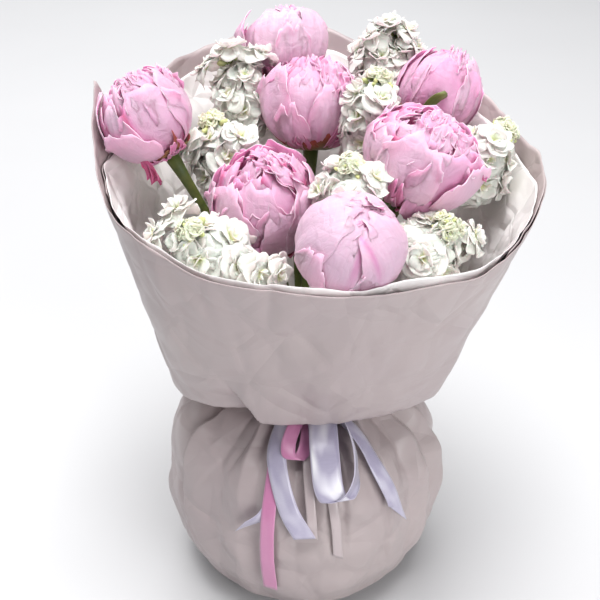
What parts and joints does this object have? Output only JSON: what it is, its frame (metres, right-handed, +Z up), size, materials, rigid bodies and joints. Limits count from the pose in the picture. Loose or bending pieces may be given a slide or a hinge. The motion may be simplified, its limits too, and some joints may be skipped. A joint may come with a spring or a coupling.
{
  "type": "bunch of peonies",
  "caption": "Bunch of pink peonies and white stocks in a flared matte wrap with a tissue liner, ribbons and a puffed foot it stands on.",
  "frame": {"origin": "centre of the flat bottom of the foot, on the surface that the bunch stands on", "axes": "+Z up, -Y to the front, where the ribbons hang, +X to the right seen from the front"},
  "size_m": [0.3562, 0.3333, 0.4745],
  "materials": {
    "peony_petals": "soft matte, pale pink, deeper at the feet and edges",
    "peony_green": "soft satin green, red-tinged at the sepals",
    "stock_petals": "soft matte white, yellow-green in the throats",
    "stock_green": "matte grey-green",
    "wrap_film": "matte taupe film, softly creased",
    "wrap_tissue": "thin crumpled creamy tissue",
    "ribbon_pink_satin": "satin",
    "ribbon_lilac_satin": "satin",
    "ribbon_beige_satin": "thin satin, plain",
    "tie_twine": "matte twine"
  },
  "bodies": {
    "root": {"peony_bloom_1": "peony_petals", "peony_stem_1": "peony_green", "peony_bloom_2": "peony_petals", "peony_stem_2": "peony_green", "peony_bloom_3": "peony_petals", "peony_stem_3": "peony_green", "peony_bloom_4": "peony_petals", "peony_stem_4": "peony_green", "peony_bloom_5": "peony_petals", "peony_stem_5": "peony_green", "peony_bloom_6": "peony_petals", "peony_stem_6": "peony_green", "peony_bloom_7": "peony_petals", "peony_stem_7": "peony_green", "stock_florets_1": "stock_petals", "stock_stem_1": "stock_green", "stock_florets_2": "stock_petals", "stock_stem_2": "stock_green", "stock_florets_3": "stock_petals", "stock_stem_3": "stock_green", "stock_florets_4": "stock_petals", "stock_stem_4": "stock_green", "stock_florets_5": "stock_petals", "stock_stem_5": "stock_green", "stock_florets_6": "stock_petals", "stock_stem_6": "stock_green", "stock_florets_7": "stock_petals", "stock_stem_7": "stock_green", "stock_florets_8": "stock_petals", "stock_stem_8": "stock_green", "wrap_pouch": "wrap_film", "wrap_front": "wrap_film", "wrap_back": "wrap_film", "tissue_liner": "wrap_tissue", "stem_tie": "tie_twine", "ribbon_pink": "ribbon_pink_satin", "ribbon_lilac": "ribbon_lilac_satin", "ribbon_beige": "ribbon_beige_satin"}
  },
  "joints": []
}
